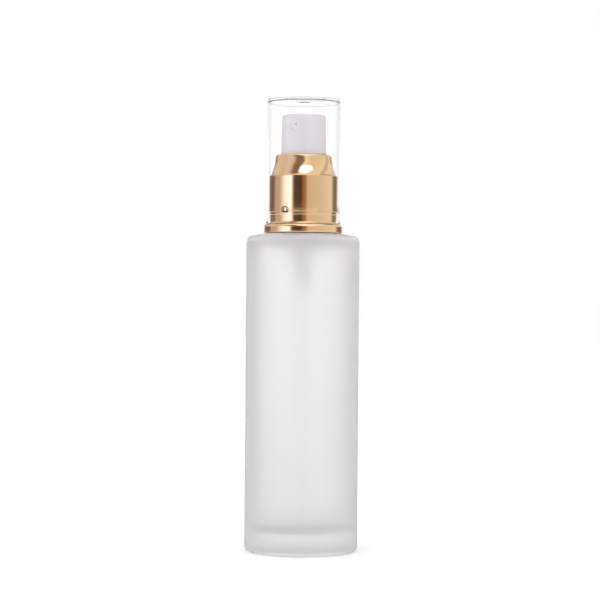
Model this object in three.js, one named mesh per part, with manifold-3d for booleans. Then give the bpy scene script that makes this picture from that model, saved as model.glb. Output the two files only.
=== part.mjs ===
// Foundation bottle with a screw-on treatment pump: frosted glass bottle, gold collar, white
// press-down head and clear overcap. Millimetres, +Z up, origin at the centre of the base.
// The front of the bottle faces -Y. Angles named "turn" are counted about +Z.
import * as THREE from 'three';
import { mergeVertices } from 'three/addons/utils/BufferGeometryUtils.js';
import Module from 'manifold-3d';

const wasm = await Module();
wasm.setup();

// ---- Driving dimensions ----

const FINE = 48; // sides of the glass
const COARSE = 40; // sides of the collar and the overcap
const SMALL = 24; // sides of the pump's inner pieces

const GAP = 0.1; // between pieces that are assembled against each other

// Glass bottle
const BODY_R = 20;
const BODY_TOP = 108.9; // where the straight side ends
const HEEL_R = 1.8;
const SHOULDER_EDGE_R = 2.4;
const SHOULDER_TOP = 112.1;
const WALL = 2.8;
const FLOOR_TOP = 7.6;
const PUSH_UP = 0.9; // depth of the hollow under the base
const FOOT_R = 15.2; // inner edge of the flat ring the bottle stands on
const NECK_R = 8.9;
const NECK_BORE_R = 6.5;
const NECK_TOP = 126.2;
const BEAD_R = 9.6;
const BEAD_Z = 116;

// Screw thread between neck and closure
const PITCH = 3.175;
const THREAD_CREST_R = 9.8;
const THREAD_START = 119.6;
const THREAD_TURNS = 1.5;
const CLOSURE_BORE_R = 10.05;
const CLOSURE_CREST_R = 9.15;

// Closure and its gold shell
const COLLAR_BOTTOM = 112.4;
const FLANGE_R = 14.05;
const FLANGE_TOP = 115.43;
const FLANGE_EDGE_R = 1.1;
const FILLET_R = 0.9; // between the flange and the collar's lower cylinder
const FILLET_Z = FLANGE_TOP + FILLET_R;
const LOWER_R = 11.87;
const LOWER_TOP = 119.75;
const COLLAR_R = 12.1;
const COLLAR_STEP = 132.4;
const CONE_FOOT = [11.5, 132.8];
const CONE_CREASE = [11.1, 134];
const CONE_MIDDLE = [10.35, 136.4];
const CONE_HEAD = [10.08, 138.6];
const COLLAR_TOP = 140;
const COLLAR_HOLE_R = 8.3;
const SHELL = 0.43;
const SHELL_INNER_R = 11.45;
const CLOSURE_R = 11.3;
const DECK = [128.8, 130.2];
const DECK_HOLE_R = 6.1;

// Pump
const GASKET = 0.9;
const HOUSING_FLANGE_R = 9.35;
const HOUSING_FLANGE = 1.2;
const BARREL_R = 5;
const BARREL_BORE_R = 3.8;
const CUP_BORE_R = 4.6; // the wider mouth that holds the guide
const CUP_R = 5.6;
const CUP = [125.6, 130.6];
const BARREL_FLOOR = 104.5;
const BALL_CHAMBER_R = 2.3;
const SEAT = [[2.3, 101.6], [1, 100.2]];
const SOCKET = [92, 99.4];
const SOCKET_R = 2.7;
const SOCKET_BORE_R = 1.6;
const INLET_BALL_R = 1.6;
const INLET_BALL_Z = 101.53;
const TUBE_R = 1.5;
const TUBE_BORE_R = 1;
const TUBE_BOTTOM = 9.4;
const STEM_R = 1.9;
const STEM_BORE_R = 1.05;
const STEM = [118.3, 150];
const STEM_COLLAR = [121.9, 125.55];
const STEM_COLLAR_R = 2.6;
const OUTLET_CUP_R = 1.4;
const OUTLET_CUP = [147, 150];
const OUTLET_BALL_R = 1.1;
const OUTLET_BALL_Z = 147.62;
const PISTON = [116.9, 121];
const PISTON_LIP_R = 3.7;
const SPRING_R = 2.9; // to the middle of the wire
const SPRING_WIRE_R = 0.3;
const SPRING = [105.55, 115.75];
const SPRING_TURNS = 5.5;

// Press-down head
const HEAD_BOTTOM = 137;
const HEAD_TOP = 154.15;
const HEAD_R = [8.1, 7.76]; // at the bottom and at the top
const HEAD_EDGE_R = 0.7;
const HEAD_WALL = 0.9;
const HEAD_CEILING = 147.4;
const BOSS_R = 3.1;
const BOSS_BOTTOM = 139.6;
const NOZZLE_Z = 150.4;
const NOZZLE_R = 2.3;
const NOZZLE_DEPTH = 2.2;
const NOZZLE_TURN = THREE.MathUtils.degToRad(-21.5);
const ORIFICE_R = 0.3;

// Overcap
const CAP_R = 12.83;
const CAP_WALL = 0.53;
const CAP_TOP = 159.6;
const CAP_CEILING = 0.87;
const CAP_EDGE_R = 1;
const CAP_RIM = 115.62;
const CAP_FLARE = 0.37;
const CAP_FLARE_HEIGHT = 3;
const GATE_R = 2; // moulding gate at the middle of the top
const GATE_DEPTH = 0.35;
const NUB_COUNT = 3;
const NUB_FIRST_TURN = THREE.MathUtils.degToRad(-31.6);
const NUB_Z = 120.4;
const NUB_SIZE = 1; // radius of the dimple outside and of the bump inside
const NUB_DIMPLE = 0.36;
const NUB_REACH = 12.16; // radius from the axis to the tip of a nub

// ---- Materials ----

const finish = (color, roughness, metalness = 0, opacity = 1) =>
  new THREE.MeshStandardMaterial({
    color, roughness, metalness, opacity, transparent: opacity < 1,
  });

const frostedGlass = finish(0xe6e8e4, 0.6, 0, 0.7);
const goldMetal = finish(0xd9b483, 0.18, 1);
const whitePlastic = finish(0xeceae6, 0.4);
const naturalPlastic = finish(0xe2e2dc, 0.45);
const clearPlastic = finish(0xf4f5f6, 0.05, 0, 0.25);
const steel = finish(0xb8babd, 0.25, 1);
const foam = finish(0xf2f1ec, 0.8);

// ---- Geometry helpers ----

// Points of an arc about [r, z], from one angle to another in degrees, 0 being outwards and 90 up.
function arc([r, z], radius, from, to, steps = 3) {
  return Array.from({ length: steps + 1 }, (_, i) => {
    const angle = THREE.MathUtils.degToRad(from + ((to - from) * i) / steps);
    return [r + radius * Math.cos(angle), z + radius * Math.sin(angle)];
  });
}

// A solid turned about Z. The [r, z] points run anticlockwise with r to the right, and either
// start and end on the axis or go all the way round a ring.
function turned(points, sides = SMALL) {
  const outline = points.map(([r, z]) => new THREE.Vector2(r, z));
  if (points[0][0] > 0) outline.push(outline[0].clone());
  return new THREE.LatheGeometry(outline, sides).rotateX(Math.PI / 2);
}

// The ring between two radii and two heights.
function ring(inner, outer, bottom, top, sides = SMALL) {
  return turned([[inner, bottom], [outer, bottom], [outer, top], [inner, top]], sides);
}

// A ridge that winds up around Z, one pitch a turn, thinning to nothing at its ends.
function threadRidge({ root, crest, rootWidth, crestWidth, firstTurn, lastTurn, zAtZero }) {
  const steps = Math.round((lastTurn - firstTurn) * 26);
  const runOut = 4; // steps over which an end rises to full height
  const positions = [];
  for (let i = 0; i <= steps; i += 1) {
    const turns = firstTurn + ((lastTurn - firstTurn) * i) / steps;
    const z = zAtZero + PITCH * turns;
    const rise = Math.min(1, (i + 0.5) / runOut, (steps - i + 0.5) / runOut);
    const top = root + (crest - root) * rise;
    const near = [[root, -rootWidth / 2], [top, -crestWidth / 2]];
    const far = [[top, crestWidth / 2], [root, rootWidth / 2]];
    const section = crest > root ? [...near, ...far] : [near[1], near[0], far[1], far[0]];
    for (const [r, offset] of section) {
      const angle = turns * 2 * Math.PI;
      positions.push(r * Math.cos(angle), r * Math.sin(angle), z + offset);
    }
  }
  const index = [0, 1, 2, 0, 2, 3];
  for (let i = 0; i < steps; i += 1) {
    for (let j = 0; j < 4; j += 1) {
      const [a, b] = [4 * i + j, 4 * i + ((j + 1) % 4)];
      index.push(a, a + 4, b + 4, a, b + 4, b);
    }
  }
  const end = 4 * steps;
  index.push(end, end + 2, end + 1, end, end + 3, end + 2);
  const geometry = new THREE.BufferGeometry();
  geometry.setAttribute('position', new THREE.Float32BufferAttribute(positions, 3));
  geometry.setIndex(index);
  return geometry;
}

// A round rod between two points.
function rod(from, to, radius, sides = SMALL) {
  const along = new THREE.Vector3().subVectors(to, from);
  const geometry = new THREE.CylinderGeometry(radius, radius, along.length(), sides);
  const up = new THREE.Vector3(0, 1, 0);
  const turn = new THREE.Quaternion().setFromUnitVectors(up, along.clone().normalize());
  geometry.applyQuaternion(turn);
  return geometry.translate(...from.clone().addScaledVector(along, 0.5));
}

function solid(geometry) {
  const bare = geometry.clone();
  bare.deleteAttribute('normal');
  bare.deleteAttribute('uv');
  const merged = mergeVertices(bare, 1e-4);
  const corners = Array.from(merged.index.array);
  const triangles = [];
  for (let i = 0; i < corners.length; i += 3) {
    const [a, b, c] = corners.slice(i, i + 3);
    if (a !== b && b !== c && c !== a) triangles.push(a, b, c);
  }
  return new wasm.Manifold(new wasm.Mesh({
    numProp: 3,
    vertProperties: new Float32Array(merged.attributes.position.array),
    triVerts: new Uint32Array(triangles),
  }));
}

function geometryOf(manifold) {
  const { vertProperties, triVerts } = manifold.getMesh();
  const geometry = new THREE.BufferGeometry();
  geometry.setAttribute('position', new THREE.BufferAttribute(vertProperties, 3));
  geometry.setIndex(new THREE.BufferAttribute(triVerts, 1));
  return geometry;
}

const joined = (first, ...rest) => geometryOf(rest.reduce((all, g) => all.add(solid(g)), solid(first)));
const cut = (first, ...rest) =>
  geometryOf(rest.reduce((all, g) => all.subtract(solid(g)), solid(first)));

// ---- Bottle ----

function glassBottle() {
  const innerR = BODY_R - WALL;
  const floorCornerR = 3.6;
  const ceilingCornerR = 2;
  const ceiling = SHOULDER_TOP - WALL - 0.4;
  const body = turned([
    [0, PUSH_UP],
    [8, PUSH_UP * 0.75],
    [FOOT_R - 0.7, 0.2],
    [FOOT_R, 0],
    ...arc([BODY_R - HEEL_R, HEEL_R], HEEL_R, -90, 0, 4),
    ...arc([BODY_R - SHOULDER_EDGE_R, BODY_TOP], SHOULDER_EDGE_R, 0, 80, 4),
    [FLANGE_R, SHOULDER_TOP],
    [NECK_R + 1, SHOULDER_TOP + 0.1],
    [NECK_R, SHOULDER_TOP + 1.2],
    [NECK_R, BEAD_Z - 0.8],
    ...arc([BEAD_R - 0.5, BEAD_Z], 0.5, -60, 60, 2),
    [NECK_R, BEAD_Z + 0.8],
    [NECK_R, NECK_TOP - 0.4],
    [NECK_R - 0.4, NECK_TOP],
    [NECK_BORE_R + 0.3, NECK_TOP],
    [NECK_BORE_R, NECK_TOP - 0.3],
    [NECK_BORE_R, ceiling + 2],
    [NECK_BORE_R + 1.4, ceiling + 0.5],
    ...arc([innerR - ceilingCornerR, ceiling - ceilingCornerR], ceilingCornerR, 85, 0),
    ...arc([innerR - floorCornerR, FLOOR_TOP + floorCornerR], floorCornerR, 0, -90, 4),
    [0, FLOOR_TOP],
  ], FINE);
  const thread = threadRidge({
    root: NECK_R - 0.3,
    crest: THREAD_CREST_R,
    rootWidth: 1.7,
    crestWidth: 0.9,
    firstTurn: 0,
    lastTurn: THREAD_TURNS,
    zAtZero: THREAD_START,
  });
  return joined(body, thread);
}

// ---- Closure ----

function closureCap() {
  const flangeR = FLANGE_R - SHELL - 2 * GAP;
  const bottom = COLLAR_BOTTOM + 0.3;
  const body = turned([
    [CLOSURE_BORE_R + 0.3, bottom],
    [flangeR, bottom],
    [flangeR, FLANGE_TOP - FLANGE_EDGE_R],
    [flangeR - 1.1, FLANGE_TOP - SHELL - 2 * GAP],
    [CLOSURE_R, FLANGE_TOP - SHELL - 2 * GAP],
    [CLOSURE_R, DECK[1] + 0.9],
    [CLOSURE_R - 0.5, DECK[1] + 1.4],
    [CLOSURE_R - 1.5, DECK[1] + 1.4],
    [CLOSURE_R - 1.7, DECK[1]],
    [DECK_HOLE_R, DECK[1]],
    [DECK_HOLE_R, DECK[0]],
    [CLOSURE_BORE_R, DECK[0]],
    [CLOSURE_BORE_R, bottom + 0.4],
  ], COARSE);
  const thread = threadRidge({
    root: CLOSURE_BORE_R + 0.35,
    crest: CLOSURE_CREST_R,
    rootWidth: 1.5,
    crestWidth: 0.7,
    firstTurn: 0.35,
    lastTurn: 1.6,
    zAtZero: THREAD_START - PITCH / 2,
  });
  return joined(body, thread);
}

function collarShell() {
  const [coneR, coneZ] = CONE_HEAD;
  return turned([
    [FLANGE_R - SHELL, COLLAR_BOTTOM],
    [FLANGE_R - 0.15, COLLAR_BOTTOM],
    [FLANGE_R, COLLAR_BOTTOM + 0.15],
    ...arc(
      [FLANGE_R - FLANGE_EDGE_R, FLANGE_TOP - FLANGE_EDGE_R], FLANGE_EDGE_R, 0, 90, 4,
    ),
    ...arc([LOWER_R + FILLET_R, FILLET_Z], FILLET_R, 270, 180),
    [LOWER_R, LOWER_TOP],
    [COLLAR_R, LOWER_TOP],
    [COLLAR_R, COLLAR_STEP],
    CONE_FOOT,
    CONE_CREASE,
    CONE_MIDDLE,
    CONE_HEAD,
    ...arc([coneR - 1.4, COLLAR_TOP - 1.4], 1.4, 15, 90),
    [COLLAR_HOLE_R, COLLAR_TOP],
    [COLLAR_HOLE_R, COLLAR_TOP - SHELL],
    [coneR - 1.4, COLLAR_TOP - SHELL - 0.1],
    [coneR - SHELL, coneZ - 0.2],
    [CONE_MIDDLE[0] - SHELL, CONE_MIDDLE[1] - 0.1],
    [CONE_CREASE[0] - SHELL, CONE_CREASE[1] - 0.15],
    [CONE_FOOT[0] - SHELL, CONE_FOOT[1] - SHELL],
    [SHELL_INNER_R, COLLAR_STEP - SHELL],
    [SHELL_INNER_R, FLANGE_TOP - SHELL],
    [FLANGE_R - FLANGE_EDGE_R, FLANGE_TOP - SHELL],
    ...arc(
      [FLANGE_R - FLANGE_EDGE_R, FLANGE_TOP - FLANGE_EDGE_R],
      FLANGE_EDGE_R - SHELL, 60, 0, 2,
    ),
  ], COARSE);
}

// ---- Pump ----

const gasketBottom = NECK_TOP + GAP;
const housingFlangeBottom = gasketBottom + GASKET + GAP;
const housingFlangeTop = housingFlangeBottom + HOUSING_FLANGE;

function neckGasket() {
  return ring(CUP_R + 0.2, HOUSING_FLANGE_R, gasketBottom, gasketBottom + GASKET);
}

function pumpHousing() {
  const [[seatTopR, seatTopZ], [seatR, seatZ]] = SEAT;
  return turned([
    [SOCKET_BORE_R, SOCKET[0]],
    [SOCKET_R - 0.3, SOCKET[0]],
    [SOCKET_R, SOCKET[0] + 0.4],
    [SOCKET_R, SOCKET[1] - 0.6],
    [SOCKET_R + 0.9, SEAT[1][1]],
    [SOCKET_R + 0.9, BARREL_FLOOR - 2],
    [BARREL_R, BARREL_FLOOR],
    [BARREL_R, CUP[0] - 1],
    [CUP_R - 0.1, CUP[0] - 0.4],
    [CUP_R - 0.1, housingFlangeBottom],
    [HOUSING_FLANGE_R, housingFlangeBottom],
    [HOUSING_FLANGE_R, housingFlangeTop],
    [CUP_R, housingFlangeTop],
    [CUP_R, CUP[1]],
    [CUP_BORE_R, CUP[1]],
    [CUP_BORE_R, CUP[0]],
    [BARREL_BORE_R, CUP[0]],
    [BARREL_BORE_R, BARREL_FLOOR],
    [BALL_CHAMBER_R, BARREL_FLOOR],
    [seatTopR, seatTopZ],
    [seatR, seatZ],
    [seatR, SOCKET[1]],
    [SOCKET_BORE_R, SOCKET[1]],
  ]);
}

function stemGuide() {
  const bottom = CUP[0] + 0.95;
  return turned([
    [STEM_R + 0.15, bottom],
    [CUP_BORE_R - GAP, bottom],
    [CUP_BORE_R - GAP, CUP[1] + 0.15],
    [CUP_R, CUP[1] + 0.15],
    [CUP_R, CUP[1] + 0.9],
    [3, CUP[1] + 1.1],
    [2.8, CUP[1] + 2.4],
    [STEM_R + 0.15, CUP[1] + 2.4],
  ]);
}

const stemWiper = () => turned([
  [STEM_R + 0.08, CUP[0] + 0.15],
  [CUP_BORE_R - 2 * GAP, CUP[0] + 0.15],
  [CUP_BORE_R - 2 * GAP, CUP[0] + 0.85],
  [STEM_R + 0.4, CUP[0] + 0.85],
  [STEM_R + 0.08, CUP[0] + 0.5],
]);

// A disc with three ports that holds the ball down and carries the spring.
function ballRetainer() {
  const [bottom, top] = [BARREL_FLOOR + GAP, SPRING[0] - SPRING_WIRE_R - GAP];
  const disc = turned([[0, bottom], [3.65, bottom], [3.65, top], [0, top]]);
  const ports = [0, 1, 2].map((i) => {
    const turn = (i * 2 * Math.PI) / 3;
    const [x, y] = [1.25 * Math.cos(turn), 1.25 * Math.sin(turn)];
    return rod(new THREE.Vector3(x, y, bottom - 1), new THREE.Vector3(x, y, top + 1), 0.65, 10);
  });
  return cut(disc, ...ports);
}

// The dip tube, cut off square at the top and notched at the bottom so that it can't seal itself.
function dipTube() {
  const tube = ring(TUBE_BORE_R, TUBE_R, TUBE_BOTTOM, SOCKET[1] - 0.3, 16);
  const notch = rod(
    new THREE.Vector3(-3, 0, TUBE_BOTTOM - 0.4), new THREE.Vector3(3, 0, TUBE_BOTTOM - 0.4), 1, 12,
  );
  return cut(tube, notch);
}

function upperStem() {
  const [cupFloor, top] = OUTLET_CUP;
  return turned([
    [STEM_BORE_R, STEM[0]],
    [STEM_R, STEM[0]],
    [STEM_R, STEM_COLLAR[0]],
    [STEM_COLLAR_R, STEM_COLLAR[0]],
    [STEM_COLLAR_R, STEM_COLLAR[1] - 0.3],
    [STEM_COLLAR_R - 0.3, STEM_COLLAR[1]],
    [STEM_R, STEM_COLLAR[1]],
    [STEM_R, top - 0.3],
    [STEM_R - 0.2, top],
    [OUTLET_CUP_R, top],
    [OUTLET_CUP_R, cupFloor + 0.5],
    [0.75, cupFloor - 0.2],
    [0.75, cupFloor - 1],
    [STEM_BORE_R, cupFloor - 1.4],
  ]);
}

// The plug in the foot of the stem: a fluted spigot, the seat that shuts the piston's bore at
// rest, and the shoulder and nose that the return spring pushes up on.
function stemPlug() {
  const seatTop = PISTON[0] - GAP;
  const seat = turned([
    [0, SPRING[1] - 3],
    [1.6, SPRING[1] - 3],
    [2.1, SPRING[1] - 2.4],
    [2.1, SPRING[1] + SPRING_WIRE_R + GAP],
    [3.2, SPRING[1] + SPRING_WIRE_R + GAP],
    [3.2, seatTop - 0.25],
    [2.95, seatTop],
    [1.3, seatTop],
    [0.9, seatTop + 1],
    [0, seatTop + 1],
  ]);
  const half = 0.28;
  const reach = STEM_BORE_R - 0.08;
  const [low, high] = [seatTop + 0.5, seatTop + 6];
  const centre = (low + high) / 2;
  const flute = (x, y) => new THREE.BoxGeometry(x, y, high - low).translate(0, 0, centre);
  return joined(seat, flute(2 * reach, 2 * half), flute(2 * half, 2 * reach));
}

// A sliding collar with a lip at each end against the barrel.
function pistonRing() {
  const [bottom, top] = PISTON;
  const bore = STEM_R + 0.12;
  const waist = PISTON_LIP_R - 0.75;
  return turned([
    [bore + 0.3, bottom],
    [waist - 0.2, bottom],
    [waist - 0.2, bottom + 0.5],
    [PISTON_LIP_R - 0.35, bottom],
    [PISTON_LIP_R, bottom + 0.25],
    [waist, bottom + 1.4],
    [waist, top - 1.4],
    [PISTON_LIP_R, top - 0.25],
    [PISTON_LIP_R - 0.35, top],
    [waist - 0.2, top - 0.8],
    [waist - 0.2, top],
    [bore, top],
    [bore, bottom + 0.4],
  ]);
}

// The wire's path: one closed coil at each end and even coils between.
class SpringPath extends THREE.Curve {
  getPoint(t, target = new THREE.Vector3()) {
    const [low, high] = SPRING;
    const turns = t * SPRING_TURNS;
    const open = Math.min(Math.max((turns - 0.75) / (SPRING_TURNS - 1.5), 0), 1);
    const closedRise = 0.75 * 2.1 * SPRING_WIRE_R;
    const below = Math.min(turns, 0.75) / 0.75;
    const above = Math.max(turns - SPRING_TURNS + 0.75, 0) / 0.75;
    const z = low + closedRise * (below + above) + open * (high - low - 2 * closedRise);
    const angle = turns * 2 * Math.PI;
    return target.set(SPRING_R * Math.cos(angle), SPRING_R * Math.sin(angle), z);
  }
}

function returnSpring() {
  const wire = new THREE.Shape().absarc(0, 0, SPRING_WIRE_R, 0, 2 * Math.PI);
  return new THREE.ExtrudeGeometry(wire, {
    steps: Math.round(SPRING_TURNS * 14), curveSegments: 3, bevelEnabled: false,
    extrudePath: new SpringPath(),
  });
}

const ball = (radius, z) => new THREE.SphereGeometry(radius, 12, 8).translate(0, 0, z);

// ---- Press-down head ----

const headRAt = (z) =>
  THREE.MathUtils.mapLinear(z, HEAD_BOTTOM, HEAD_TOP, HEAD_R[0], HEAD_R[1]);

function actuatorHead() {
  const socketTop = STEM[1] + GAP;
  const socketR = STEM_R + 0.08;
  const edgeR = headRAt(HEAD_TOP) - HEAD_EDGE_R;
  const body = turned([
    [0, NOZZLE_Z + 0.3],
    [OUTLET_CUP_R - 0.3, NOZZLE_Z + 0.3],
    [OUTLET_CUP_R - 0.3, socketTop],
    [socketR, socketTop],
    [socketR, BOSS_BOTTOM + 0.4],
    [socketR + 0.3, BOSS_BOTTOM],
    [BOSS_R, BOSS_BOTTOM],
    [BOSS_R, HEAD_CEILING],
    [headRAt(HEAD_CEILING) - HEAD_WALL, HEAD_CEILING],
    [HEAD_R[0] - HEAD_WALL, HEAD_BOTTOM],
    [HEAD_R[0], HEAD_BOTTOM],
    ...arc([edgeR, HEAD_TOP - HEAD_EDGE_R], HEAD_EDGE_R, 0, 90),
    [0, HEAD_TOP],
  ], COARSE);
  const centre = new THREE.Vector3(0, 0, NOZZLE_Z);
  const outside = new THREE.Vector3(0, -10, NOZZLE_Z);
  const socketBack = new THREE.Vector3(0, NOZZLE_DEPTH + GAP - headRAt(NOZZLE_Z), NOZZLE_Z);
  const channel = rod(centre, outside, 0.7, 12);
  return cut(body, channel, rod(socketBack, outside, NOZZLE_R + GAP));
}

// The disc pressed into the side of the head, with the outlet through it. Its face follows the
// curve of the head.
function nozzleInsert() {
  const face = headRAt(NOZZLE_Z) - 0.03;
  const back = headRAt(NOZZLE_Z) - NOZZLE_DEPTH;
  const disc = rod(
    new THREE.Vector3(0, -back, NOZZLE_Z), new THREE.Vector3(0, -10, NOZZLE_Z), NOZZLE_R,
  );
  const bore = rod(
    new THREE.Vector3(0, 0, NOZZLE_Z), new THREE.Vector3(0, -12, NOZZLE_Z), ORIFICE_R, 12,
  );
  const limit = turned([
    [0, HEAD_BOTTOM], [face + 0.1, HEAD_BOTTOM], [face - 0.05, HEAD_TOP], [0, HEAD_TOP],
  ], 96);
  return geometryOf(solid(disc).intersect(solid(limit)).subtract(solid(bore)));
}

// ---- Overcap ----

function overcap() {
  const innerR = CAP_R - CAP_WALL;
  const ceiling = CAP_TOP - CAP_CEILING;
  const flareTop = CAP_RIM + CAP_FLARE_HEIGHT;
  const innerEdgeR = CAP_EDGE_R - 0.3;
  const cap = turned([
    [0, ceiling - GATE_DEPTH],
    [GATE_R, ceiling - GATE_DEPTH],
    [GATE_R + 0.5, ceiling],
    ...arc([innerR - innerEdgeR, ceiling - innerEdgeR], innerEdgeR, 90, 0, 2),
    [innerR, flareTop],
    [innerR + CAP_FLARE, CAP_RIM],
    [CAP_R + CAP_FLARE, CAP_RIM],
    [CAP_R + CAP_FLARE, CAP_RIM + 1],
    [CAP_R, flareTop + 0.2],
    ...arc([CAP_R - CAP_EDGE_R, CAP_TOP - CAP_EDGE_R], CAP_EDGE_R, 0, 90, 3),
    [GATE_R + 0.2, CAP_TOP],
    [GATE_R - 0.3, CAP_TOP - GATE_DEPTH],
    [0, CAP_TOP - GATE_DEPTH],
  ], COARSE);
  const lenses = (depth, r) =>
    Array.from({ length: NUB_COUNT }, (_, i) =>
      new THREE.SphereGeometry(NUB_SIZE, 12, 8)
        .scale(1, depth / NUB_SIZE, 1)
        .translate(0, -r, NUB_Z)
        .rotateZ(NUB_FIRST_TURN + (i * 2 * Math.PI) / NUB_COUNT));
  const bump = 0.29;
  const nubs = lenses(bump, NUB_REACH + bump);
  return cut(joined(cap, ...nubs), ...lenses(NUB_DIMPLE, CAP_R));
}

// ---- Assembly ----

function part(name, geometry, material) {
  const mesh = new THREE.Mesh(geometry, material);
  mesh.name = name;
  return mesh;
}

function assembly(...parts) {
  const group = new THREE.Group();
  group.add(...parts);
  return group;
}

const closure = assembly(
  part('closure_cap', closureCap(), naturalPlastic),
  part('collar_shell', collarShell(), goldMetal),
);

const pump = assembly(
  part('neck_gasket', neckGasket(), foam),
  part('pump_housing', pumpHousing(), naturalPlastic),
  part('stem_guide', stemGuide(), whitePlastic),
  part('stem_wiper', stemWiper(), naturalPlastic),
  part('ball_retainer', ballRetainer(), naturalPlastic),
  part('dip_tube', dipTube(), naturalPlastic),
  part('upper_stem', upperStem(), whitePlastic),
  part('stem_plug', stemPlug(), whitePlastic),
  part('piston', pistonRing(), naturalPlastic),
  part('return_spring', returnSpring(), steel),
  part('inlet_ball', ball(INLET_BALL_R, INLET_BALL_Z), steel),
  part('outlet_ball', ball(OUTLET_BALL_R, OUTLET_BALL_Z), steel),
);

const actuator = assembly(
  part('actuator_head', actuatorHead(), whitePlastic),
  part('nozzle_insert', nozzleInsert(), whitePlastic),
);
actuator.rotation.z = NOZZLE_TURN;

const bottle = assembly(
  part('glass_bottle', glassBottle(), frostedGlass),
  closure,
  pump,
  actuator,
  part('overcap', overcap(), clearPlastic),
);

export default bottle;
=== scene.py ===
"""Foundation bottle: frosted glass, gold collar, white press-down head and clear overcap.

Outlines are written in millimetres as (radius, height) or (radius, height, corner radius) and
turned about Z. The pieces' outer sizes come from the frame, and the steps between them are
written where they are used.
"""

import math

import bmesh
import bpy
from mathutils import Matrix, Vector


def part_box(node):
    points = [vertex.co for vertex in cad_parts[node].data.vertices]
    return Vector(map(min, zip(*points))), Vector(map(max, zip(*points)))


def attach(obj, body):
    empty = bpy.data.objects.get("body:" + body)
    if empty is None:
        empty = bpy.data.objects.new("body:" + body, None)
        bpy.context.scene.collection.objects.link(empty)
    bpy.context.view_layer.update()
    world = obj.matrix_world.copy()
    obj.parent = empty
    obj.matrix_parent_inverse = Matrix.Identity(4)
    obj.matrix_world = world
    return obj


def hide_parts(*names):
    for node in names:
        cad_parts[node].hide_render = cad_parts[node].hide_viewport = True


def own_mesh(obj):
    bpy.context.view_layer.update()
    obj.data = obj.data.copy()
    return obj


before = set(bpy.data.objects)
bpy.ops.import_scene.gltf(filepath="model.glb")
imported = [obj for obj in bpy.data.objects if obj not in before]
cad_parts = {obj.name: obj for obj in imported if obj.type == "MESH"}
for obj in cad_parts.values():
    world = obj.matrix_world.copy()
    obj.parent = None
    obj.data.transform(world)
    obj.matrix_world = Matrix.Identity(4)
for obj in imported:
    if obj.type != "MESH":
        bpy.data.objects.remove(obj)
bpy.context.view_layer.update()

MM = 0.001
TURN = 2 * math.pi


# ---- Sizes read from the frame, in millimetres ----


def low(node):
    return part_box(node)[0].z / MM


def high(node):
    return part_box(node)[1].z / MM


def radius(node):
    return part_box(node)[1].x / MM


BODY_R = radius("glass_bottle")
NECK_TOP = high("glass_bottle")
COLLAR_LOW, COLLAR_TOP = low("collar_shell"), high("collar_shell")
FLANGE_R = radius("collar_shell")
HEAD_LOW, HEAD_TOP = low("actuator_head"), high("actuator_head")
CAP_LOW, CAP_TOP = low("overcap"), high("overcap")
CAP_RIM_R = radius("overcap")

SHOULDER = COLLAR_LOW - 0.3
PITCH = 3.175
THREAD_DEPTH = 0.9
THREAD_START = NECK_TOP - 6.6
NECK_R = 8.9
NECK_BORE_R = 6.5
CLOSURE_BORE_R = 10.05
HEAD_LOW_R, HEAD_TOP_R = 8.1, 7.76
NOZZLE_Z = HEAD_TOP - 3.75
NOZZLE_TURN = math.radians(-21.5)
CAP_R = CAP_RIM_R - 0.37
CAP_WALL = 0.53
STEM_R = 1.9
FLANGE_EDGE_R = 1.1
FLANGE_EDGE_Z = 114.33
ON_WALL = 0.01  # how near to a wall's radius an unrounded outline point lies


# ---- Outlines ----


def rounded(outline, closed, step=math.radians(10)):
    """The outline as (r, z) points, with each (r, z, corner radius) turned into an arc."""
    points = []
    count = len(outline)
    for i, corner in enumerate(outline):
        here = Vector(corner[:2])
        at_end = not closed and i in (0, count - 1)
        if len(corner) == 2 or at_end:
            points.append(tuple(here))
            continue
        before = Vector(outline[i - 1][:2]) - here
        after = Vector(outline[(i + 1) % count][:2]) - here
        angle = before.angle(after)
        reach = min(corner[2] / math.tan(angle / 2), 0.49 * before.length, 0.49 * after.length)
        arc_r = reach * math.tan(angle / 2)
        towards = (before.normalized() + after.normalized()).normalized()
        centre = here + towards * arc_r / math.sin(angle / 2)
        first = here + before.normalized() * reach - centre
        last = here + after.normalized() * reach - centre
        bend = first.angle_signed(last)
        steps = max(2, math.ceil(abs(bend) / step))
        for k in range(steps + 1):
            points.append(tuple(centre + Matrix.Rotation(-bend * k / steps, 2) @ first))
    return points


def stack(r, bottom, top, step):
    """Points up or down a straight wall, close enough together to carry relief."""
    count = max(1, round(abs(top - bottom) / step))
    return [(r, bottom + (top - bottom) * i / count) for i in range(count + 1)]


def arc(centre, r, start, end, steps=10):
    """Points round a centre from one angle to another in degrees, 0 outwards and 90 up."""
    angles = [math.radians(start + (end - start) * i / steps) for i in range(steps + 1)]
    return [(centre[0] + r * math.cos(a), centre[1] + r * math.sin(a)) for a in angles]


def lathe(name, outline, sides=256, relief=None):
    """A closed mesh turned about Z. An outline that starts and ends on the axis makes a solid,
    and any other makes a ring. relief(r, z, angle) moves the surface outwards."""
    closed = outline[0][0] > 0
    rows = rounded(outline, closed)
    verts, first = [], []
    for r, z in rows:
        first.append(len(verts))
        if r < 1e-6:
            verts.append((0, 0, z * MM))
            continue
        for k in range(sides):
            angle = TURN * k / sides
            out = r + (relief(r, z, angle) if relief else 0)
            verts.append((out * math.cos(angle) * MM, out * math.sin(angle) * MM, z * MM))
    faces = []
    for i in range(len(rows) if closed else len(rows) - 1):
        j = (i + 1) % len(rows)
        for k in range(sides):
            n = (k + 1) % sides
            a, b = first[i] + k, first[i] + n
            d, c = first[j] + k, first[j] + n
            if rows[i][0] < 1e-6:
                faces.append((first[i], c, d))
            elif rows[j][0] < 1e-6:
                faces.append((a, b, first[j]))
            else:
                faces.append((a, b, c, d))
    return mesh_object(name, verts, faces)


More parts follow.
